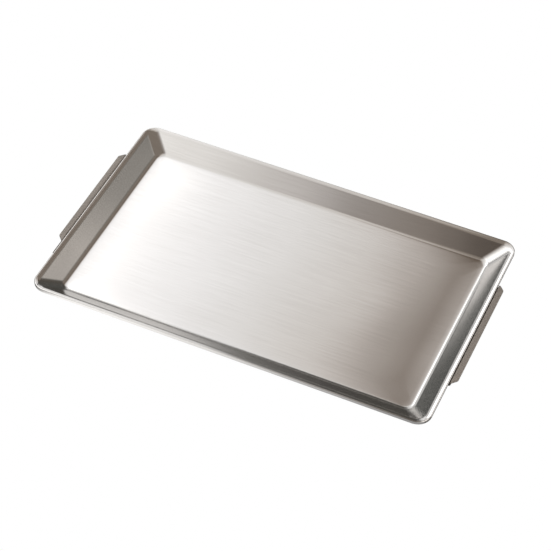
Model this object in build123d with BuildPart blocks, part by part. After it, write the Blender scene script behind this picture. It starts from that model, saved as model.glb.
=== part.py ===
import math
import os

from build123d import *

# Sizes in millimetres, +Z up, underside of the floor at Z = 0.

# Pan: one pressed sheet with its rim rolled outward.
RIM_LENGTH = 320.0
RIM_WIDTH = 204.0
HEIGHT = 12.0
SHEET = 0.8
WALL_RUN = 18.0
FLOOR_CORNER = 8.0
FOLD_RADIUS = 8.0
RIM_CORNER = 11.5
ROLL_DIAMETER = 3.8
ROLL_END = -165.0
ROLL_TAIL = 1.6

# Handle strip: one bent strip under each short end.
STRIP = 1.0
STRIP_BEND = 1.2
ROLL_GAP = 0.15
FLANGE_LENGTH = 7.4
STRIP_SPAN = 62.0
EAR_REACH = 1.2
GRIP_REACH = 5.4
GRIP_HALF_ROOT = 55.0
GRIP_HALF_TIP = 50.5
GRIP_CORNER = 2.4
GRIP_RISE = 0.9
EAR_DEPTH = 1.1
# The left grip is fixed a little further back, and its strip keeps an ear in front.
LEFT_SHIFT = 7.0

os.makedirs("parts", exist_ok=True)

# The wall runs from the edge of the floor to a line tangent to the roll.
floor_length = RIM_LENGTH - 2 * WALL_RUN
floor_width = RIM_WIDTH - 2 * WALL_RUN
roll_r = ROLL_DIAMETER / 2
roll_x = RIM_LENGTH / 2 - roll_r
roll_y = RIM_WIDTH / 2 - roll_r
roll_z = HEIGHT - roll_r
run = roll_x - floor_length / 2
rise = roll_z - SHEET
slope = math.atan2(rise, run) + math.asin(roll_r / math.hypot(run, rise))
along = (math.cos(slope), math.sin(slope))
normal = (-math.sin(slope), math.cos(slope))


def roll_section(distance, offset):
    """Section point measured from the roll centre: along the wall, then off it."""
    return (
        roll_x + distance * along[0] + offset * normal[0],
        roll_z + distance * along[1] + offset * normal[1],
    )


def roll_polar(radius, degrees):
    """Section point at an angle round the roll centre."""
    turn = math.radians(degrees)
    return (roll_x + radius * math.cos(turn), roll_z + radius * math.sin(turn))


# Both faces of the wall are lofted between rounded rectangles.
fold_shift = SHEET * math.tan(slope / 2)
wall_top = roll_section(0, roll_r - SHEET)
outer_grow = wall_top[0] - floor_length / 2
inner_grow = (HEIGHT - SHEET) / math.tan(slope)
rim_path_corner = RIM_CORNER - roll_r
outer_top_corner = rim_path_corner + wall_top[0] - roll_x
inner_top_corner = rim_path_corner + floor_length / 2 + inner_grow - roll_x

with BuildPart() as hollow:
    with BuildSketch(Plane.XY.offset(SHEET)):
        RectangleRounded(floor_length, floor_width, FLOOR_CORNER)
    with BuildSketch(Plane.XY.offset(HEIGHT)):
        RectangleRounded(
            floor_length + 2 * inner_grow,
            floor_width + 2 * inner_grow,
            inner_top_corner,
        )
    loft()
    fillet(hollow.faces().sort_by(Axis.Z)[0].edges(), FOLD_RADIUS)

with BuildPart() as pan:
    with BuildSketch(Plane.XY):
        RectangleRounded(
            floor_length + 2 * fold_shift,
            floor_width + 2 * fold_shift,
            FLOOR_CORNER + fold_shift,
        )
    with BuildSketch(Plane.XY.offset(wall_top[1])):
        RectangleRounded(
            floor_length + 2 * outer_grow,
            floor_width + 2 * outer_grow,
            outer_top_corner,
        )
    loft()
    fillet(pan.faces().sort_by(Axis.Z)[0].edges(), FOLD_RADIUS + SHEET)
    add(hollow.part, mode=Mode.SUBTRACT)

    # The rolled rim: an open curl swept once round the edge.
    wall_angle = math.degrees(slope) + 90
    middle = (wall_angle + ROLL_END) / 2
    with BuildLine(Plane.XY.offset(roll_z)) as rim_path:
        half_loop = FilletPolyline(
            (roll_x, 0),
            (roll_x, roll_y),
            (-roll_x, roll_y),
            (-roll_x, 0),
            radius=rim_path_corner,
        )
        mirror(half_loop, about=Plane.XZ)
    with BuildSketch(Plane.XZ) as curl:
        with BuildLine():
            Polyline(
                roll_section(0, roll_r - SHEET),
                roll_section(-ROLL_TAIL, roll_r - SHEET),
                roll_section(-ROLL_TAIL, roll_r),
                roll_section(0, roll_r),
            )
            ThreePointArc(
                roll_polar(roll_r, wall_angle),
                roll_polar(roll_r, middle),
                roll_polar(roll_r, ROLL_END),
            )
            Line(
                roll_polar(roll_r, ROLL_END),
                roll_polar(roll_r - SHEET, ROLL_END),
            )
            ThreePointArc(
                roll_polar(roll_r - SHEET, ROLL_END),
                roll_polar(roll_r - SHEET, middle),
                roll_polar(roll_r - SHEET, wall_angle),
            )
        make_face()
    sweep(path=rim_path.wire())

# Handle strip: flange on the wall, run under the roll, riser, then the grip.
half = STRIP / 2
under_z = roll_z - roll_r - ROLL_GAP - half
riser_x = RIM_LENGTH / 2 + ROLL_GAP + half
grip_z = roll_z + GRIP_RISE - half
grip_x = RIM_LENGTH / 2 + GRIP_REACH
flange_offset = roll_r - SHEET - half
bend_at = (under_z - roll_z - flange_offset * normal[1]) / along[1]

flange_x = floor_length / 2
ear_x = RIM_LENGTH / 2 + EAR_REACH
ear_floor = roll_z + GRIP_RISE - EAR_DEPTH

with BuildSketch(Plane.XZ) as strip_section:
    with BuildLine():
        FilletPolyline(
            roll_section(bend_at - FLANGE_LENGTH, flange_offset),
            roll_section(bend_at, flange_offset),
            (riser_x, under_z),
            (riser_x, grip_z),
            (grip_x, grip_z),
            radius=STRIP_BEND,
        )
    trace(line_width=STRIP)

with BuildPart() as handle_right:
    extrude(strip_section.sketch, amount=STRIP_SPAN, both=True)
    with BuildSketch(Plane.XY) as plain_outline:
        with BuildLine():
            Polyline(
                (flange_x, -GRIP_HALF_ROOT),
                (ear_x, -GRIP_HALF_ROOT),
                (grip_x, -GRIP_HALF_TIP),
                (grip_x, GRIP_HALF_TIP),
                (ear_x, GRIP_HALF_ROOT),
                (flange_x, GRIP_HALF_ROOT),
                close=True,
            )
        make_face()
        fillet(plain_outline.vertices().group_by(Axis.X)[-1], GRIP_CORNER)
    extrude(amount=HEIGHT, mode=Mode.INTERSECT)

with BuildPart() as eared_strip:
    extrude(strip_section.sketch, amount=STRIP_SPAN, both=True)
    root = LEFT_SHIFT - GRIP_HALF_ROOT
    with BuildSketch(Plane.XY) as eared_outline:
        with BuildLine():
            Polyline(
                (flange_x, -STRIP_SPAN),
                (ear_x, -STRIP_SPAN),
                (ear_x, root),
                (grip_x, LEFT_SHIFT - GRIP_HALF_TIP),
                (grip_x, LEFT_SHIFT + GRIP_HALF_TIP),
                (ear_x, LEFT_SHIFT + GRIP_HALF_ROOT),
                (flange_x, LEFT_SHIFT + GRIP_HALF_ROOT),
                close=True,
            )
        make_face()
        fillet(eared_outline.vertices().group_by(Axis.X)[-1], GRIP_CORNER)
    extrude(amount=HEIGHT, mode=Mode.INTERSECT)

    # In front of the flange only the short ear stays beside the roll.
    with Locations((flange_x, root, 0)):
        Box(
            GRIP_REACH * 10,
            STRIP_SPAN,
            ear_floor,
            align=(Align.CENTER, Align.MAX, Align.MIN),
            mode=Mode.SUBTRACT,
        )

with BuildPart() as handle_left:
    add(mirror(eared_strip.part, about=Plane.YZ))

pan.part.label = "pan"
handle_left.part.label = "handle_left"
handle_right.part.label = "handle_right"

export_step(pan.part, "parts/pan.step")
export_step(handle_left.part, "parts/handle_left.step")
export_step(handle_right.part, "parts/handle_right.step")
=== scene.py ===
# %% [markdown]
# # A shallow steel tray
# This lesson dresses a flat developing tray: one pressed steel sheet with a rolled rim, and a
# bent strip at each short end to lift it by. The engineering model fixes where everything is,
# so the first step loads it as a frame. Blender's own meshes then take the place of its
# faceted ones, in metres, with nothing to fit or move afterwards.

# %% Load the frame
import math

import bmesh
import bpy
from mathutils import Matrix, Vector


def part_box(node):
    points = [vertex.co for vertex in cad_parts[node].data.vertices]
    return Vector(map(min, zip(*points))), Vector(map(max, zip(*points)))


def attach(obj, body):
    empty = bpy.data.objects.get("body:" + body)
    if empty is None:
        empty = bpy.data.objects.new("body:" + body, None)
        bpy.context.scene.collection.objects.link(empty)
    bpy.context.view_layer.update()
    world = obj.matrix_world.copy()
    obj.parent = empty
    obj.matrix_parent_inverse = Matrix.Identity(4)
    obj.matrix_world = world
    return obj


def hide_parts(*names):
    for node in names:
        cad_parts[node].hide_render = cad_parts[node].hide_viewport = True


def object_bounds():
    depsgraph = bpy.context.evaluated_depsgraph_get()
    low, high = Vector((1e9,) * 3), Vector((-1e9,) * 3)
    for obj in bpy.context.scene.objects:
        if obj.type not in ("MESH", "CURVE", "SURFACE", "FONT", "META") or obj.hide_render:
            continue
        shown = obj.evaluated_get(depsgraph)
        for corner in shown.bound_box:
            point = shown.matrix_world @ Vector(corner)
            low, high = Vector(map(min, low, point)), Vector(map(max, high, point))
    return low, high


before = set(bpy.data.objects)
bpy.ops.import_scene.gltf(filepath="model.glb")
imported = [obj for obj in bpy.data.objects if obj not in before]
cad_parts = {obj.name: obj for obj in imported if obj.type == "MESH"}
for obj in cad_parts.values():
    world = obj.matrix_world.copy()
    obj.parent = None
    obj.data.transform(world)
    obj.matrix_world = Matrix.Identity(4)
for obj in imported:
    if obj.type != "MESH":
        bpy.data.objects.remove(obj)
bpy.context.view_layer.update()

# %% [markdown]
# ## The sizes of the sheet
# A press tool is drawn as a section: flat floor, a fold of one radius, a straight sloping
# wall, and a rim rolled outward. The outer sizes are read from the frame. The radii and the
# sheet thickness are the tool's own, so they are named here once.

# %% Section of the pan
MM = 0.001
SHEET = 0.8 * MM
WALL_RUN = 18 * MM
FOLD_RADIUS = 8 * MM
FLOOR_CORNER = 8 * MM
RIM_CORNER = 11.5 * MM
ROLL_RADIUS = 1.9 * MM
ROLL_END = math.radians(-165)
SHOULDER_RADIUS = 0.65 * MM
LAND_TILT = math.radians(13)
LAND_BLEND = 0.7 * MM
TINY = 1e-6

rim_x, rim_y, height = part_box("pan")[1]
roll_x, roll_z = rim_x - ROLL_RADIUS, height - ROLL_RADIUS
side_shift = rim_x - rim_y
floor_x = rim_x - WALL_RUN
run, rise = roll_x - floor_x, roll_z - SHEET
slope = math.atan2(rise, run) + math.asin(ROLL_RADIUS / math.hypot(run, rise))
wall_angle = slope + math.pi / 2
setback = FOLD_RADIUS * math.tan(slope / 2)
print("wall slope in degrees:", round(math.degrees(slope), 2))

# %% [markdown]
# ## Walking out along the section
# Every stop on the walk is a ring round the tray: how far out it is, how high, and the
# radius of its corners. Two stops lie close together wherever a flat meets a curve. They
# keep the smooth shading of the curve from leaking on to the flat. A pressed floor is never
# quite flat: near the fold the metal starts to lift, by a quarter of a millimetre over the
# last centimetre and a half. The eye sees it at once, as a paler band along the edge of the floor.
#
# The roll is not a perfect circle either. The tool irons a narrow land on its inner
# shoulder, sloping in towards the tray, and leaves a tighter curve outside it. The land
# decides which lights the rim picks up: it flashes at one end and stays dark at the other.

# %% Stops from the floor to the end of the roll
FOLD_STEPS = 10
SHOULDER_STEPS = 10
ROLL_STEPS = 18
GUARD = 0.4 * MM

BAND = 16 * MM
BAND_LIFT = 0.24 * MM
BAND_STEPS = 6
BAND_CORNER = 15 * MM

band_slope = 2 * BAND_LIFT / BAND
lift_left = BAND_LIFT - FOLD_RADIUS * (1 - math.cos(band_slope))
arc_x = floor_x - setback + lift_left / math.tan(slope)
arc_z = SHEET + FOLD_RADIUS + lift_left
fold_start = arc_x + FOLD_RADIUS * math.sin(band_slope)
corner_start = FLOOR_CORNER - setback
tangent_x = roll_x + ROLL_RADIUS * math.cos(wall_angle)
tangent_z = roll_z + ROLL_RADIUS * math.sin(wall_angle)
shoulder_x, shoulder_z = rim_x - SHOULDER_RADIUS, height - SHOULDER_RADIUS
land_x = shoulder_x - SHOULDER_RADIUS * math.sin(LAND_TILT)
land_z = shoulder_z + SHOULDER_RADIUS * math.cos(LAND_TILT)
top_x = (tangent_z - land_z + land_x * math.tan(LAND_TILT)
         - tangent_x * math.tan(slope)) / (math.tan(LAND_TILT) - math.tan(slope))
top_z = land_z - (land_x - top_x) * math.tan(LAND_TILT)
roll_corner = RIM_CORNER - ROLL_RADIUS
top_corner = roll_corner + top_x - roll_x


def wall_stop(x):
    """A ring on the straight wall, at a distance out from the middle of the tray."""
    share = (x - floor_x) / (top_x - floor_x)
    corner = FLOOR_CORNER + (top_corner - FLOOR_CORNER) * share
    return x, top_z - (top_x - x) * math.tan(slope), corner


fold_end = wall_stop(arc_x + FOLD_RADIUS * math.sin(slope))
stops = []
for i in range(1, BAND_STEPS + 1):
    share = i / BAND_STEPS
    stops.append((
        fold_start - BAND * (1 - share),
        SHEET + BAND_LIFT * share ** 2,
        BAND_CORNER + (corner_start - BAND_CORNER) * share,
    ))
for i in range(1, FOLD_STEPS + 1):
    share = i / FOLD_STEPS
    turn = band_slope + (slope - band_slope) * share
    stops.append((
        arc_x + FOLD_RADIUS * math.sin(turn),
        arc_z - FOLD_RADIUS * math.cos(turn),
        corner_start + (fold_end[2] - corner_start) * share,
    ))
stops += [
    wall_stop(fold_end[0] + GUARD), wall_stop(top_x - LAND_BLEND - GUARD),
    wall_stop(top_x - LAND_BLEND),
]


def rim_stop(x, z):
    """A ring on the rim, whose corners all share one centre."""
    return x, z, roll_corner + x - roll_x


def along_land(distance):
    """A ring on the land, measured in from the shoulder."""
    return rim_stop(
        land_x - distance * math.cos(LAND_TILT), land_z - distance * math.sin(LAND_TILT))


def round_stops(x, z, radius, first, last, steps):
    """Rings round an arc of the section, its ends included."""
    turns = [first + (last - first) * i / steps for i in range(steps + 1)]
    return [rim_stop(x + radius * math.cos(t), z + radius * math.sin(t)) for t in turns]


land_length = (land_x - top_x) / math.cos(LAND_TILT)
stops += [
    along_land(land_length - LAND_BLEND), along_land(land_length - LAND_BLEND - GUARD),
    along_land(GUARD),
]
stops += round_stops(shoulder_x, shoulder_z, SHOULDER_RADIUS,
                     math.pi / 2 + LAND_TILT, 0, SHOULDER_STEPS)
stops += round_stops(roll_x, roll_z, ROLL_RADIUS, 0, ROLL_END, ROLL_STEPS)
print("rings:", len(stops), "wall starts at x in mm:", round(fold_end[0] / MM, 2))

# %% [markdown]
# ## Moving one ring
# The open edge of the sheet is extruded, then moved to the next stop. Straight sides slide
# straight out. Each rounded corner is scaled about its own centre and slid out with it, so
# a corner stays a true arc however its radius changes. A vertex layer notes where each
# point would lie on the flat blank, because brushed grain is made before the sheet is
# pressed and follows the metal up the walls.

# %% Helper: draw the sheet out to the next ring
def outward(point, centre_x, centre_y):
    """Unit direction away from the straight core of the rounded rectangle."""
    dx = max(abs(point.x) - centre_x, 0) * math.copysign(1, point.x)
    dy = max(abs(point.y) - centre_y, 0) * math.copysign(1, point.y)
    return Vector((dx, dy, 0)).normalized()


def draw_out(bm, blank, old, new):
    """Extrude the open edge of the sheet from one stop to the next."""
    open_edge = [e for e in bm.edges if e.is_boundary]
    made = bmesh.ops.extrude_edge_only(bm, edges=open_edge)["geom"]
    verts = [g for g in made if isinstance(g, bmesh.types.BMVert)]
    was_x, was_y = old[0] - old[2], old[0] - side_shift - old[2]
    now_x, now_y = new[0] - new[2], new[0] - side_shift - new[2]
    grow = new[2] / old[2]
    moves, before = {}, {v: v.co.copy() for v in verts}
    for v in verts:
        key = tuple(
            int(math.copysign(1, c)) if abs(c) > w - TINY else 0
            for c, w in ((v.co.x, was_x), (v.co.y, was_y))
        )
        moves.setdefault(key, []).append(v)
    for (sx, sy), group in moves.items():
        if sx and sy:
            pivot = Matrix.Translation((-sx * was_x, -sy * was_y, 0))
            bmesh.ops.scale(bm, vec=(grow, grow, 1), space=pivot, verts=group)
            shift = (sx * (now_x - was_x), sy * (now_y - was_y), new[1] - old[1])
        else:
            out = new[0] - old[0]
            shift = (sx * out, sy * out, new[1] - old[1])
        bmesh.ops.translate(bm, vec=shift, verts=group)
    for v, was in before.items():
        step = v.co - was
        way = Vector((step.x, step.y, 0)).normalized()
        if new[0] < old[0] + TINY:
            way = outward(v.co, now_x - TINY, now_y - TINY)
        v[blank] = v[blank] + way * step.length


# %% [markdown]
# ## The pan
# The floor starts as a grid whose four corner points are bevelled round. The sheet is then
# drawn out ring by ring: fold, wall and roll. A Solidify modifier gives the skin its real
# thickness underneath, so the roll is an open curl with an edge.

# %% Pan skin
GRID_X, GRID_Y = 12, 6
CORNER_STEPS = 18


def pan_skin():
    """The upper face of the whole sheet, and the layer that holds its flat blank."""
    bm = bmesh.new()
    start = (fold_start - BAND, SHEET, BAND_CORNER)
    bmesh.ops.create_grid(bm, x_segments=GRID_X, y_segments=GRID_Y, size=1)
    bmesh.ops.scale(bm, vec=(start[0], start[0] - side_shift, 1), verts=bm.verts)
    bmesh.ops.translate(bm, vec=(0, 0, SHEET), verts=bm.verts)
    corners = [v for v in bm.verts if len(v.link_edges) == 2]
    bmesh.ops.bevel(
        bm, geom=corners, offset=start[2], offset_type="OFFSET", segments=CORNER_STEPS,
        profile=0.5, affect="VERTICES", material=-1,
    )
    blank = bm.verts.layers.float_vector.new("blank")
    for v in bm.verts:
        v[blank] = (v.co.x, v.co.y, 0)
    for old, new in zip([start] + stops, stops):
        draw_out(bm, blank, old, new)
    bm.normal_update()
    return bm, blank


skin, skin_blank = pan_skin()
print("pan skin faces:", len(skin.faces))

# %% [markdown]
# ## Finishing a skin
# A skin becomes a piece in the same way each time: its UV map is written from the blank, its
# faces are shaded smooth, and it is given its thickness. The object stays at the origin, so
# Object coordinates in the materials are the tray's own coordinates.

# %% Helper: skin to piece
def finish_skin(bm, name, blank, thickness, offset):
    """Make a piece from a skin, with the blank as its UV map."""
    uv = bm.loops.layers.uv.new("blank_uv")
    for face in bm.faces:
        face.smooth = True
        for loop in face.loops:
            loop[uv].uv = loop.vert[blank].xy
    mesh = bpy.data.meshes.new(name)
    bm.to_mesh(mesh)
    bm.free()
    piece = bpy.data.objects.new(name, mesh)
    bpy.context.collection.objects.link(piece)
    wall = piece.modifiers.new("sheet thickness", "SOLIDIFY")
    wall.thickness = thickness
    wall.offset = offset
    wall.use_even_offset = True
    return piece


# %% The pan
pan = finish_skin(skin, "pressed_pan", skin_blank, SHEET, -1)
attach(pan, "root")
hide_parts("pan")
print("pan:", len(pan.data.vertices), "vertices")

# %% [markdown]
# ## The grips
# Each grip is one strip of thicker steel. It lies flat on the underside of the end wall,
# turns level under the roll, rises just outside it and turns out again. A strip like that
# is folded on a brake press, so it is modelled as folds: an edge as wide as the strip is
# extruded along the straight runs and spun through each bend.

# %% Section of the strip
STRIP = 1.0 * MM
STRIP_BEND = 1.2 * MM
ROLL_GAP = 0.15 * MM
FLANGE_LENGTH = 7.4 * MM
GRIP_HALF_ROOT = 55 * MM
BEND_STEPS = 8
STRIP_CUTS = 11

grip_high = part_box("handle_right")[1]
under_z = roll_z - ROLL_RADIUS - ROLL_GAP - STRIP / 2
riser_x = rim_x + ROLL_GAP + STRIP / 2
grip_z = grip_high.z - STRIP / 2
wall_way = Vector((math.cos(slope), 0, math.sin(slope)))
wall_out = Vector((-math.sin(slope), 0, math.cos(slope)))
flange_off = ROLL_RADIUS - SHEET - STRIP / 2
fold_at = (under_z - roll_z - flange_off * wall_out.z) / wall_way.z
fold_point = Vector((roll_x, 0, roll_z)) + wall_way * fold_at + wall_out * flange_off
print("strip folds at x in mm:", round(fold_point.x / MM, 2), round(riser_x / MM, 2))

# %% Helpers: a straight run and a bend
def run_on(bm, edges, vector):
    """Extrude the working edge of the strip by a vector, and return the new edge."""
    made = bmesh.ops.extrude_edge_only(bm, edges=edges)["geom"]
    verts = [g for g in made if isinstance(g, bmesh.types.BMVert)]
    bmesh.ops.translate(bm, vec=vector, verts=verts)
    return [g for g in made if isinstance(g, bmesh.types.BMEdge)]


def bend(bm, edges, way, turn):
    """Spin the working edge through a bend; a positive turn bends it upward."""
    side = Vector((-way.z, 0, way.x)) * math.copysign(1, turn)
    middle = sum((v.co for e in edges for v in e.verts), Vector()) / (2 * len(edges))
    made = bmesh.ops.spin(
        bm, geom=edges, cent=middle + side * STRIP_BEND, axis=(0, -1, 0), angle=turn,
        steps=BEND_STEPS, dvec=(0, 0, 0), use_merge=False, use_duplicate=False,
    )["geom_last"]
    return [g for g in made if isinstance(g, bmesh.types.BMEdge)]


# %% [markdown]
# Beyond the last bend the grip narrows to rounded tips. The left strip is fixed a little
# further back, and in front it keeps a short ear beside the roll. The narrowing is a scale
# of each line across the strip, the tips are two bevelled corner points, and the ear is
# extruded sideways from the end of the last bend.

# %% One strip
EAR_REACH = 1.2 * MM
EAR_DEPTH = 1.1 * MM
GRIP_HALF_TIP = 50.5 * MM
GRIP_TIP_CUT = 0.95 * MM
TIP_STEPS = 8
NEAR = 0.2 * MM
ear_x = rim_x + EAR_REACH
ear_floor = grip_high.z - EAR_DEPTH
down_setback = STRIP_BEND * math.tan(slope / 2)


def strip_skin():
    """The middle surface of the right-hand strip."""
    bm = bmesh.new()
    level, up = Vector((1, 0, 0)), Vector((0, 0, 1))
    first = fold_point - wall_way * FLANGE_LENGTH
    seed = bmesh.ops.create_vert(bm, co=(first.x, -GRIP_HALF_ROOT, first.z))["vert"]
    pulled = bmesh.ops.extrude_vert_indiv(bm, verts=seed)
    bmesh.ops.translate(bm, vec=(0, 2 * GRIP_HALF_ROOT, 0), verts=pulled["verts"])
    bmesh.ops.subdivide_edges(bm, edges=pulled["edges"], cuts=STRIP_CUTS)
    edge = run_on(bm, list(bm.edges), wall_way * (FLANGE_LENGTH - down_setback))
    edge = bend(bm, edge, wall_way, -slope)
    edge = run_on(
        bm, edge, level * (riser_x - fold_point.x - down_setback - STRIP_BEND)
    )
    edge = bend(bm, edge, level, math.pi / 2)
    edge = run_on(bm, edge, up * (grip_z - under_z - 2 * STRIP_BEND))
    edge = bend(bm, edge, up, -math.pi / 2)
    run_on(bm, edge, level * (grip_high.x - riser_x - STRIP_BEND))
    return bm


def shape_grip(bm, ear):
    """Narrow the grip towards its tips, round them, and add an ear of a given length."""
    tip_x = max(v.co.x for v in bm.verts)
    for v in bm.verts:
        share = (v.co.x - ear_x) / (tip_x - ear_x)
        if share > 0:
            half = GRIP_HALF_ROOT + (GRIP_HALF_TIP - GRIP_HALF_ROOT) * share
            bmesh.ops.scale(bm, vec=(1, half / GRIP_HALF_ROOT, 1), verts=[v])
    if ear > TINY:
        run_on(bm, [
            e for e in bm.edges
            if e.is_boundary
            and min(v.co.z for v in e.verts) > ear_floor - NEAR
            and max(v.co.x for v in e.verts) < ear_x + NEAR
            and max(v.co.y for v in e.verts) < NEAR - GRIP_HALF_ROOT
        ], Vector((0, -ear, 0)))
    tips = [v for v in bm.verts if v.co.x > tip_x - TINY and len(v.link_edges) == 2]
    bmesh.ops.bevel(
        bm, geom=tips, offset=GRIP_TIP_CUT, offset_type="OFFSET", segments=TIP_STEPS,
        profile=0.5, affect="VERTICES", material=-1,
    )


print("ear from z in mm:", round(ear_floor / MM, 2), "to", round(grip_high.z / MM, 2))

# %% [markdown]
# Both grips come from the same tool, so the left one is the right one mirrored and moved
# along. Mirroring turns a shape inside out, so the faces are made consistent before the
# strip gets its thickness. A small bevel breaks the sheared edges, as tumbling would.

# %% Both grips
EDGE_BREAK = 0.16 * MM
EDGE_BREAK_STEPS = 2
SHARP_ANGLE = math.radians(50)


def make_grip(name, node, side):
    """The grip that stands for a node of the frame, on the +X or the -X end."""
    low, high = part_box(node)
    shift = high.y - GRIP_HALF_ROOT
    bm = strip_skin()
    shape_grip(bm, shift - GRIP_HALF_ROOT - low.y)
    bmesh.ops.scale(bm, vec=(side, 1, 1), verts=bm.verts)
    bmesh.ops.translate(bm, vec=(0, shift, 0), verts=bm.verts)
    bmesh.ops.recalc_face_normals(bm, faces=bm.faces)
    blank = bm.verts.layers.float_vector.new("blank")
    for v in bm.verts:
        v[blank] = (v.co.x + side * v.co.z, v.co.y, 0)
    piece = finish_skin(bm, name, blank, STRIP, 0)
    broken = piece.modifiers.new("broken edge", "BEVEL")
    broken.width = EDGE_BREAK
    broken.segments = EDGE_BREAK_STEPS
    broken.limit_method = "ANGLE"
    broken.angle_limit = SHARP_ANGLE
    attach(piece, "root")
    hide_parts(node)
    return piece


grip_right = make_grip("grip_strip_right", "handle_right", 1)
grip_left = make_grip("grip_strip_left", "handle_left", -1)
made_low, made_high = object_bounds()
print("made box in mm:", [round(s / MM, 2) for s in made_high - made_low])

# %% [markdown]
# ## Shared surface effects
# Brushed steel is thousands of fine scratches all running one way. Each scratch tilts the
# surface a little and scatters light across the grain. The first group draws that grain
# from a stretched noise. The second gives the soft blotches that handling, washing and
# drying leave. The third gives the polish that rubbing leaves on raised parts.

# %% Helpers: a node group with named sockets
def new_group(name, inputs, outputs):
    """A shader node group with its interface made, and its two end nodes."""
    group = bpy.data.node_groups.new(name, "ShaderNodeTree")
    for label, kind, value in inputs:
        socket = group.interface.new_socket(label, in_out="INPUT", socket_type=kind)
        if value is not None:
            socket.default_value = value
    for label, kind in outputs:
        group.interface.new_socket(label, in_out="OUTPUT", socket_type=kind)
    return group, group.nodes.new("NodeGroupInput"), group.nodes.new("NodeGroupOutput")


def math_node(tree, operation, *values, clamp=False):
    """A Math node; its values are sockets or plain numbers."""
    node = tree.nodes.new("ShaderNodeMath")
    node.operation = operation
    node.use_clamp = clamp
    for socket, value in zip(node.inputs, values):
        if isinstance(value, bpy.types.NodeSocket):
            tree.links.new(value, socket)
        else:
            socket.default_value = value
    return node.outputs[0]


def noise_node(tree, vector, scale, detail, rough=0.5):
    """A Noise Texture read at a vector; scale is a socket or a number."""
    node = tree.nodes.new("ShaderNodeTexNoise")
    node.inputs["Detail"].default_value = detail
    node.inputs["Roughness"].default_value = rough
    tree.links.new(vector, node.inputs["Vector"])
    if isinstance(scale, bpy.types.NodeSocket):
        tree.links.new(scale, node.inputs["Scale"])
    else:
        node.inputs["Scale"].default_value = scale
    return node.outputs["Fac"]


def mapped(tree, vector, scale=(1, 1, 1), turn=0.0):
    """The vector turned about Z, with each axis scaled."""
    node = tree.nodes.new("ShaderNodeMapping")
    node.inputs["Scale"].default_value = scale
    node.inputs["Rotation"].default_value = (0, 0, turn)
    tree.links.new(vector, node.inputs["Vector"])
    return node.outputs[0]


# %% Group: brushed grain
VALUE, VECTOR = "NodeSocketFloat", "NodeSocketVector"
GRAIN_ALONG = 0.02

grain, ends, out = new_group(
    "brushed grain",
    [("Vector", VECTOR, None), ("Lines per metre", VALUE, 1500.0),
     ("Broad lines per metre", VALUE, 160.0)],
    [("Fine", VALUE), ("Broad", VALUE)],
)
along = mapped(grain, ends.outputs["Vector"], (GRAIN_ALONG, 1, 1))
fine = noise_node(grain, along, ends.outputs["Lines per metre"], 3, 0.7)
broad = noise_node(grain, along, ends.outputs["Broad lines per metre"], 2, 0.6)
grain.links.new(fine, out.inputs["Fine"])
grain.links.new(broad, out.inputs["Broad"])
print("grain group:", [s.name for s in grain.interface.items_tree])

# %% Group: handling marks
marks, ends, out = new_group(
    "handling marks",
    [("Vector", VECTOR, None), ("Patches per metre", VALUE, 14.0)],
    [("Smudge", VALUE)],
)
patches = noise_node(marks, ends.outputs["Vector"], ends.outputs["Patches per metre"], 4, 0.55)
marks.links.new(patches, out.inputs["Smudge"])
print("marks group:", [s.name for s in marks.interface.items_tree])

# %% Group: rubbed edge
LEAST_RUB = 0.35

rubbed, ends, out = new_group(
    "rubbed edge",
    [("Vector", VECTOR, None), ("Starts at height", VALUE, 0.0105),
     ("Full at height", VALUE, 0.012), ("Patches per metre", VALUE, 90.0)],
    [("Rub", VALUE)],
)
apart = rubbed.nodes.new("ShaderNodeSeparateXYZ")
rubbed.links.new(ends.outputs["Vector"], apart.inputs[0])
rise_map = rubbed.nodes.new("ShaderNodeMapRange")
rubbed.links.new(apart.outputs["Z"], rise_map.inputs["Value"])
rubbed.links.new(ends.outputs["Starts at height"], rise_map.inputs["From Min"])
rubbed.links.new(ends.outputs["Full at height"], rise_map.inputs["From Max"])
uneven = noise_node(rubbed, ends.outputs["Vector"], ends.outputs["Patches per metre"], 3)
lifted = math_node(rubbed, "ADD", uneven, LEAST_RUB, clamp=True)
rubbed.links.new(math_node(rubbed, "MULTIPLY", rise_map.outputs[0], lifted), out.inputs["Rub"])
print("rub group:", [s.name for s in rubbed.interface.items_tree])

# %% [markdown]
# ## Brushed steel
# Both steels are one recipe with their own values. The colour is a warm grey that the
# grain and the smudges shift a little. Roughness is spread unevenly across the grain: the
# Anisotropic value stretches each reflection, and the tangent of the blank's UV map says
# which way. The bump has two parts, the hairlines, and the slight wander of sheet metal
# that has been pressed.

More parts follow.
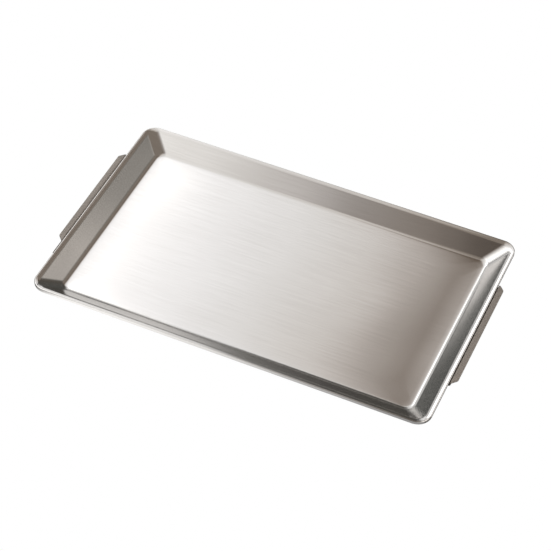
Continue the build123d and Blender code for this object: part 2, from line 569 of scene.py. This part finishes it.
# %% Helper: a brushed steel
def brushed_steel(name, light, dark, roughness, spread, look):
    """A brushed steel material; look holds the strengths of its surface effects."""
    material = bpy.data.materials.new(name)
    material.use_nodes = True
    tree = material.node_tree
    steel = tree.nodes["Principled BSDF"]
    steel.inputs["Metallic"].default_value = 1.0
    steel.inputs["Anisotropic"].default_value = spread
    steel.inputs["Anisotropic Rotation"].default_value = look["turn"]
    where = tree.nodes.new("ShaderNodeTexCoord")
    blank_map = tree.nodes.new("ShaderNodeUVMap")
    blank_map.uv_map = "blank_uv"
    tangent = tree.nodes.new("ShaderNodeTangent")
    tangent.direction_type = "UV_MAP"
    tangent.uv_map = "blank_uv"
    tree.links.new(tangent.outputs[0], steel.inputs["Tangent"])

    def place(group, vector, values):
        node = tree.nodes.new("ShaderNodeGroup")
        node.node_tree = group
        tree.links.new(vector, node.inputs["Vector"])
        for label, value in values.items():
            node.inputs[label].default_value = value
        return node.outputs

    lines = place(grain, mapped(tree, blank_map.outputs[0], turn=look["grain turn"]), look["grain"])
    smudge = place(marks, where.outputs["Object"], look["marks"])["Smudge"]
    rub = place(rubbed, where.outputs["Object"], look["rub"])["Rub"]

    tone = math_node(tree, "MULTIPLY", smudge, look["smudge tone"])
    tone = math_node(tree, "ADD", tone, math_node(
        tree, "MULTIPLY", lines["Fine"], look["grain tone"]), clamp=True)
    colour = tree.nodes.new("ShaderNodeMix")
    colour.data_type = "RGBA"
    colour.inputs["A"].default_value = (*light, 1)
    colour.inputs["B"].default_value = (*dark, 1)
    tree.links.new(tone, colour.inputs["Factor"])
    tree.links.new(colour.outputs["Result"], steel.inputs["Base Color"])

    rough = math_node(
        tree, "MULTIPLY_ADD", lines["Fine"], look["grain rough"],
        roughness - look["grain rough"] / 2)
    rough = math_node(tree, "ADD", rough, math_node(
        tree, "MULTIPLY", smudge, look["smudge rough"]))
    rough = math_node(tree, "SUBTRACT", rough, math_node(
        tree, "MULTIPLY", rub, look["rub polish"]), clamp=True)
    tree.links.new(rough, steel.inputs["Roughness"])

    wander = noise_node(tree, where.outputs["Object"], look["wander per metre"], 1)
    soft = tree.nodes.new("ShaderNodeBump")
    soft.inputs["Strength"].default_value = 1.0
    soft.inputs["Distance"].default_value = look["wander depth"]
    tree.links.new(wander, soft.inputs["Height"])
    hair = tree.nodes.new("ShaderNodeBump")
    hair.inputs["Strength"].default_value = look["hair strength"]
    hair.inputs["Distance"].default_value = look["hair depth"]
    tree.links.new(math_node(tree, "ADD", lines["Fine"], lines["Broad"]), hair.inputs["Height"])
    tree.links.new(soft.outputs[0], hair.inputs["Normal"])
    tree.links.new(hair.outputs[0], steel.inputs["Normal"])
    return material


# %% Pan steel and strip steel
pan_look = {
    "turn": 0.25, "grain turn": 0.0,
    "grain": {"Lines per metre": 900.0, "Broad lines per metre": 260.0},
    "marks": {"Patches per metre": 14.0},
    "rub": {"Starts at height": 0.0105, "Full at height": 0.012},
    "smudge tone": 0.35, "grain tone": 0.9,
    "grain rough": 0.08, "smudge rough": 0.04, "rub polish": 0.04,
    "wander per metre": 9.0, "wander depth": 0.6 * MM,
    "hair strength": 0.2, "hair depth": 0.02 * MM,
}
strip_look = dict(pan_look, **{
    "turn": 0.0, "grain turn": math.pi / 2,
    "rub": {"Starts at height": 0.0105, "Full at height": 0.0112},
    "wander depth": 0.2 * MM,
})
pan_steel = brushed_steel(
    "brushed pan steel", light=(0.73, 0.715, 0.70), dark=(0.60, 0.58, 0.56),
    roughness=0.13, spread=0.5, look=pan_look)
strip_steel = brushed_steel(
    "brushed strip steel", light=(0.46, 0.42, 0.385), dark=(0.355, 0.323, 0.292),
    roughness=0.65, spread=0.3, look=strip_look)
pan.data.materials.append(pan_steel)
for piece in (grip_right, grip_left):
    piece.data.materials.append(strip_steel)
print("materials:", [m.name for m in bpy.data.materials])

# %% [markdown]
# ## The studio
# Polished metal shows the room more than itself, so most of the studio is there to be
# mirrored. A light box could be an area lamp, but a glowing card can also fade across its
# width, and steel shows that fade. So every lamp here is a card: a flat square with an
# emission ramp from its left edge to its right. The camera doesn't see the cards. Their
# places and levels were found by trial for the one camera below, so this is a rig for that
# view more than a plain studio. Two or three big even cards would do to look the tray over.

# %% Helpers: a staged square and a glowing card
def grey(level):
    """A neutral light of a given level."""
    return (level, level, level)


def even(colour):
    """A glow that is the same right across a card."""
    return [(0.0, colour), (1.0, colour)]


def flat_square(name, half):
    """A level square of the studio; half is the distance from its centre to an edge."""
    bm = bmesh.new()
    bmesh.ops.create_grid(bm, x_segments=1, y_segments=1, size=half)
    mesh = bpy.data.meshes.new(name)
    bm.to_mesh(mesh)
    bm.free()
    square = bpy.data.objects.new(name, mesh)
    bpy.context.collection.objects.link(square)
    return square


def glow_cloth(name, glow):
    """An emission that changes across the width; glow lists (share of width, colour) stops."""
    cloth = bpy.data.materials.new(name)
    cloth.use_nodes = True
    tree = cloth.node_tree
    tree.nodes.clear()
    where = tree.nodes.new("ShaderNodeTexCoord")
    apart = tree.nodes.new("ShaderNodeSeparateXYZ")
    tree.links.new(where.outputs["Object"], apart.inputs[0])
    share = math_node(tree, "ADD", apart.outputs["X"], 0.5)
    ramp = tree.nodes.new("ShaderNodeValToRGB")
    tree.links.new(share, ramp.inputs[0])
    peak = max(max(colour) for _, colour in glow)
    ramp_stops = ramp.color_ramp.elements
    while len(ramp_stops) < len(glow):
        ramp_stops.new(0.5)
    for mark, (position, colour) in zip(ramp_stops, glow):
        mark.position = position
        mark.color = [c / peak for c in colour] + [1]
    lit = tree.nodes.new("ShaderNodeEmission")
    lit.inputs["Strength"].default_value = peak
    tree.links.new(ramp.outputs[0], lit.inputs["Color"])
    end = tree.nodes.new("ShaderNodeOutputMaterial")
    tree.links.new(lit.outputs[0], end.inputs["Surface"])
    return cloth


def card(name, centre, size, turn, glow):
    """A rectangular soft light, turned by degrees about each axis."""
    holder = flat_square(name, 0.5)
    holder.location = centre
    holder.scale = (*size, 1)
    holder.rotation_euler = [math.radians(a) for a in turn]
    holder.visible_camera = False
    holder.data.materials.append(glow_cloth(name + " cloth", glow))
    print("card:", name, "at", centre)


# %% [markdown]
# The tray stands on a sheet of white paper, three tenths of a millimetre below the tray so
# that the two never share a plane. To the camera the paper is plain white. To the steel it is
# a dull grey, so that it doesn't wash out the rim and the walls.

# %% Sweep
SWEEP_HALF = 4.0
SWEEP_DROP = 0.3 * MM

sweep = flat_square("studio_sweep", SWEEP_HALF)
sweep.location.z = -SWEEP_DROP

paper = bpy.data.materials.new("white paper")
paper.use_nodes = True
tree = paper.node_tree
dull = tree.nodes["Principled BSDF"]
dull.inputs["Base Color"].default_value = (*grey(0.3), 1)
dull.inputs["Roughness"].default_value = 1.0
seen = tree.nodes.new("ShaderNodeLightPath")
white = tree.nodes.new("ShaderNodeEmission")
either = tree.nodes.new("ShaderNodeMixShader")
tree.links.new(seen.outputs["Is Camera Ray"], either.inputs["Fac"])
tree.links.new(dull.outputs[0], either.inputs[1])
tree.links.new(white.outputs[0], either.inputs[2])
tree.links.new(either.outputs[0], tree.nodes["Material Output"].inputs["Surface"])
sweep.data.materials.append(paper)
print("sweep across in metres:", 2 * SWEEP_HALF)

# %% [markdown]
# Overhead hang three soft boxes, end to end from the back to the front. Seen from the camera,
# the floor mirrors the back one, the far wall the front one, and the fold between them the
# middle one. All three are brightest near the middle and fade to a warm dim edge on the right,
# so the steel goes from white to brown along the tray. Their fades differ a little, so the
# far wall doesn't darken quite in step with the floor.

# %% Overhead soft boxes
BOX_HEIGHT, BOX_WIDTH = 1.2, 1.69
SKEW = (0, 0, -3.7)

bright_end = [
    (0.0, grey(0.9)), (0.3, grey(1.2)), (0.39, grey(2.0)), (0.47, grey(3.0)),
    (0.56, (2.4, 2.4, 2.38))]
card("overhead_softbox_back", (-0.874, 1.148, BOX_HEIGHT), (BOX_WIDTH, 1.0), SKEW, bright_end + [
    (0.62, (1.49, 1.5, 1.53)), (0.7, (1.255, 1.26, 1.28)), (0.77, (1.075, 1.07, 1.065)),
    (0.83, (0.97, 0.94, 0.915)), (0.865, (0.81, 0.76, 0.72)), (0.9, (0.47, 0.42, 0.38)),
    (0.93, (0.23, 0.185, 0.15)), (0.96, (0.1, 0.065, 0.04)), (1.0, (0.06, 0.035, 0.015))])
card("overhead_softbox_middle", (-0.924, 0.375, BOX_HEIGHT), (BOX_WIDTH, 0.55), SKEW, bright_end + [
    (0.62, (1.5, 1.5, 1.48)), (0.7, (1.25, 1.24, 1.23)), (0.77, (1.08, 1.07, 1.05)),
    (0.83, (0.95, 0.93, 0.91)), (0.88, (0.88, 0.85, 0.82)), (0.923, (0.82, 0.78, 0.74)),
    (0.95, (0.7, 0.65, 0.6)), (1.0, (0.4, 0.35, 0.3))])
card("overhead_softbox_front", (-0.985, -0.573, BOX_HEIGHT), (BOX_WIDTH, 1.35), SKEW, [
    (0.0, grey(0.15)), (0.35, grey(0.25)), (0.45, grey(1.5)), (0.56, (2.2, 2.2, 2.18)),
    (0.62, (1.9, 1.9, 1.88)), (0.68, (1.75, 1.75, 1.73)), (0.71, (1.5, 1.49, 1.48)),
    (0.74, (1.17, 1.16, 1.14)), (0.8, (0.95, 0.93, 0.91)), (0.85, (0.74, 0.71, 0.69)),
    (0.88, (0.6, 0.57, 0.55)), (0.91, (0.41, 0.38, 0.36)), (0.94, (0.36, 0.32, 0.29)),
    (0.97, (0.34, 0.3, 0.27)), (1.0, (0.26, 0.22, 0.19))])

# %% [markdown]
# Right of the soft boxes, and just above them, two dim brown cards stand in for a ceiling.
# The far wall's right end mirrors the front one. The other borders the floor's reflection,
# and fills the floor in views from straight above.

# %% Ceiling cards
CEILING_HEIGHT = 1.22

card("ceiling_bounce", (0.27, 0.7, CEILING_HEIGHT), (0.78, 1.9), SKEW, even((0.28, 0.24, 0.205)))
card("ceiling_front", (0.16, -1.05, CEILING_HEIGHT), (1.12, 1.65), SKEW, even((0.11, 0.09, 0.075)))

# %% [markdown]
# The outer face of the near rim mirrors what stands in front of the tray, and the table
# between. One upright card and one that lies on the table give it its bright left half. A
# small kicker close to the right end lights the grip there, and a card at the right front
# serves views from that side.

# %% Cards in front
UPRIGHT = (90, 0, 0)

card("front_card", (-0.45, -1.6, 0.72), (2.4, 1.5), UPRIGHT, [
    (0.0, grey(0.15)), (0.36, grey(0.15)), (0.42, grey(1.5)), (0.45, grey(1.5)),
    (0.485, grey(1.33)), (0.51, grey(1.07)), (0.535, grey(0.76)), (0.564, grey(0.48)),
    (0.62, grey(0.3)), (1.0, grey(0.3))])
card("front_table_card", (-0.1, -0.449, 0.001), (1.0, 0.7), (0, 0, 0), [
    (0.0, grey(0.15)), (0.43, grey(0.15)), (0.46, grey(1.45)), (0.53, grey(1.33)),
    (0.59, grey(1.1)), (0.65, grey(0.76)), (0.72, grey(0.5)), (0.8, grey(0.35)),
    (1.0, grey(0.3))])
card("right_kicker", (0.42, -0.12, 0.3), (0.25, 0.3), (0, 50, 0), even((2.6, 2.5, 2.4)))
card("front_right_card", (1.5, -1.5, 0.6), (1.4, 1.0), (90, 0, 45), even((0.8, 0.78, 0.75)))

# %% [markdown]
# The near wall and the two end walls mirror the back of the room: the left wall its right
# half, and the right wall its left half. Between the cards it stays dark, and that dark is
# what gives the walls their depth.

# %% Cards behind
card("back_left_card", (-0.86, 2.0, 0.85), (1.02, 0.9), (90, 0, 8), [
    (0.0, grey(1.1)), (0.6, grey(1.1)), (0.65, grey(0.95)), (0.68, grey(0.75)),
    (0.7, grey(0.55)), (0.725, grey(0.4)), (0.75, (0.3, 0.3, 0.29)), (0.8, (0.25, 0.25, 0.24)),
    (0.83, (0.21, 0.205, 0.2)), (0.88, (0.14, 0.135, 0.13)), (1.0, (0.08, 0.075, 0.07))])
card("left_back_low", (-1.55, 1.5, 0.78), (0.9, 0.61), (90, 0, 45), even(grey(0.8)))
card("back_right_low", (0.65, 2.0, 0.36), (1.5, 0.54), UPRIGHT, [
    (0.0, grey(0.12)), (0.25, (0.45, 0.44, 0.43)), (1.0, (0.7, 0.68, 0.66))])
card("right_low_card", (1.48, 1.48, 0.55), (1.2, 0.8), (90, 0, -45), even(grey(2.0)))
card("right_back_card", (1.45, 1.5, 1.3), (1.3, 1.3), (120, 0, -40), [
    (0.0, (0.1, 0.1, 0.095)), (0.3, (0.34, 0.325, 0.3)), (0.4, (0.48, 0.45, 0.42)),
    (0.46, (0.8, 0.75, 0.7)), (0.55, (1.8, 1.7, 1.6)), (1.0, (1.5, 1.45, 1.4))])

# %% [markdown]
# The room itself is dim towards the back and pale towards the front and the sides, so the
# tray looks like light steel from the sides too. From low in front, from high behind and
# from straight above, its floor mirrors the dim parts of the rig and looks dark.

# %% World
BACK_BEGINS, BACK_FULL = 0.1, 0.45

world = bpy.data.worlds.new("studio room")
bpy.context.scene.world = world
world.use_nodes = True
tree = world.node_tree
where = tree.nodes.new("ShaderNodeTexCoord")
apart = tree.nodes.new("ShaderNodeSeparateXYZ")
dim_back = tree.nodes.new("ShaderNodeValToRGB")
tree.links.new(where.outputs["Generated"], apart.inputs[0])
tree.links.new(apart.outputs["Z"], dim_back.inputs[0])
dim_back.color_ramp.elements[0].color = (0.095, 0.1, 0.095, 1)
dim_back.color_ramp.elements[1].color = (0.10, 0.08, 0.062, 1)
to_back = tree.nodes.new("ShaderNodeMapRange")
to_back.inputs["From Min"].default_value = BACK_BEGINS
to_back.inputs["From Max"].default_value = BACK_FULL
tree.links.new(apart.outputs["Y"], to_back.inputs["Value"])
room = tree.nodes.new("ShaderNodeMix")
room.data_type = "RGBA"
room.inputs["A"].default_value = (0.5, 0.49, 0.47, 1)
tree.links.new(to_back.outputs[0], room.inputs["Factor"])
tree.links.new(dim_back.outputs[0], room.inputs["B"])
tree.links.new(room.outputs["Result"], tree.nodes["Background"].inputs["Color"])
bpy.context.scene.view_settings.view_transform = "Standard"

# %% [markdown]
# ## The camera
# A long lens from above one corner keeps the far edge nearly as long as the near one. The
# camera stands on a turntable angle round the tray and looks down at about 45 degrees, with
# a slight roll.

# %% Camera
AZIMUTH, ELEVATION, ROLL = 21.28, 45.48, 3.34
DISTANCE = 1.5146
AIM = Vector((0.0023, -0.0098, 0.0101))
SENSOR_WIDTH, FOCAL_LENGTH = 36, 129.9

az, el, roll = (math.radians(a) for a in (AZIMUTH, ELEVATION, ROLL))
back = Vector((math.sin(az) * math.cos(el), -math.cos(az) * math.cos(el), math.sin(el)))
right = Vector((math.cos(az), math.sin(az), 0))
up = back.cross(right)
level_right = right * math.cos(roll) + up * math.sin(roll)
level_up = up * math.cos(roll) - right * math.sin(roll)
lens = bpy.data.cameras.new("long lens")
lens.sensor_width = SENSOR_WIDTH
lens.lens = FOCAL_LENGTH
camera = bpy.data.objects.new("camera", lens)
bpy.context.collection.objects.link(camera)
turned = Matrix((level_right, level_up, back)).transposed().to_4x4()
camera.matrix_world = Matrix.Translation(AIM + back * DISTANCE) @ turned
bpy.context.scene.camera = camera
print("camera at:", [round(c, 3) for c in camera.location])
